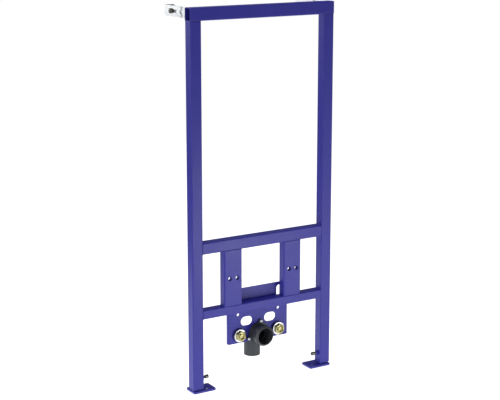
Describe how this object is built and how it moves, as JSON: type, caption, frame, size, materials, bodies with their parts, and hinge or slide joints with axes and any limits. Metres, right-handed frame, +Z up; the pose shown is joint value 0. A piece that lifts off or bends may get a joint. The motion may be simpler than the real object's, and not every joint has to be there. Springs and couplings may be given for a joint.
{
  "type": "bidet installation frame",
  "caption": "Blue steel floor-standing frame for a wall-hung bidet: two posts, crossbars, drilled fixing plates, outlet plate with drain elbow and water connections, feet, wall brackets.",
  "frame": {"origin": "on the floor, midway between the two posts in width, and halfway between the drain socket's mouth and the wall faces of the brackets in depth", "axes": "+Z up along the posts, +X to the right as seen from the front, +Y back toward the wall, front toward -Y"},
  "size_m": [0.48, 0.171, 1.12],
  "materials": {
    "blue_paint": "satin ultramarine powder coat",
    "zinc": "bright zinc plating",
    "brass": "yellow passivated brass",
    "black_plastic": "smooth dark grey polyethylene",
    "black_rubber": "matt sealing rubber"
  },
  "bodies": {
    "root": {"left_post": "blue_paint", "right_post": "blue_paint", "top_bar": "blue_paint", "upper_crossbar": "blue_paint", "lower_crossbar": "blue_paint", "left_fixing_plate": "blue_paint", "right_fixing_plate": "blue_paint", "left_fixing_nuts": "zinc", "right_fixing_nuts": "zinc", "outlet_plate": "blue_paint", "drain_elbow": "black_plastic", "drain_seal": "black_rubber", "elbow_ring": "black_plastic", "elbow_ring_screws": "zinc", "left_water_rubber": "black_rubber", "right_water_rubber": "black_rubber", "left_water_washer": "zinc", "right_water_washer": "zinc", "left_water_nut": "brass", "right_water_nut": "brass", "left_water_fitting": "brass", "right_water_fitting": "brass", "left_leg": "blue_paint", "right_leg": "blue_paint", "left_base_plate": "blue_paint", "right_base_plate": "blue_paint", "left_leg_nut": "zinc", "right_leg_nut": "zinc", "left_leg_bolt": "zinc", "right_leg_bolt": "zinc", "left_bracket_base": "zinc", "right_bracket_base": "zinc", "left_bracket_arm": "zinc", "right_bracket_arm": "zinc", "left_wall_angle": "zinc", "right_wall_angle": "zinc", "left_bracket_bolt": "zinc", "right_bracket_bolt": "zinc"}
  },
  "joints": []
}
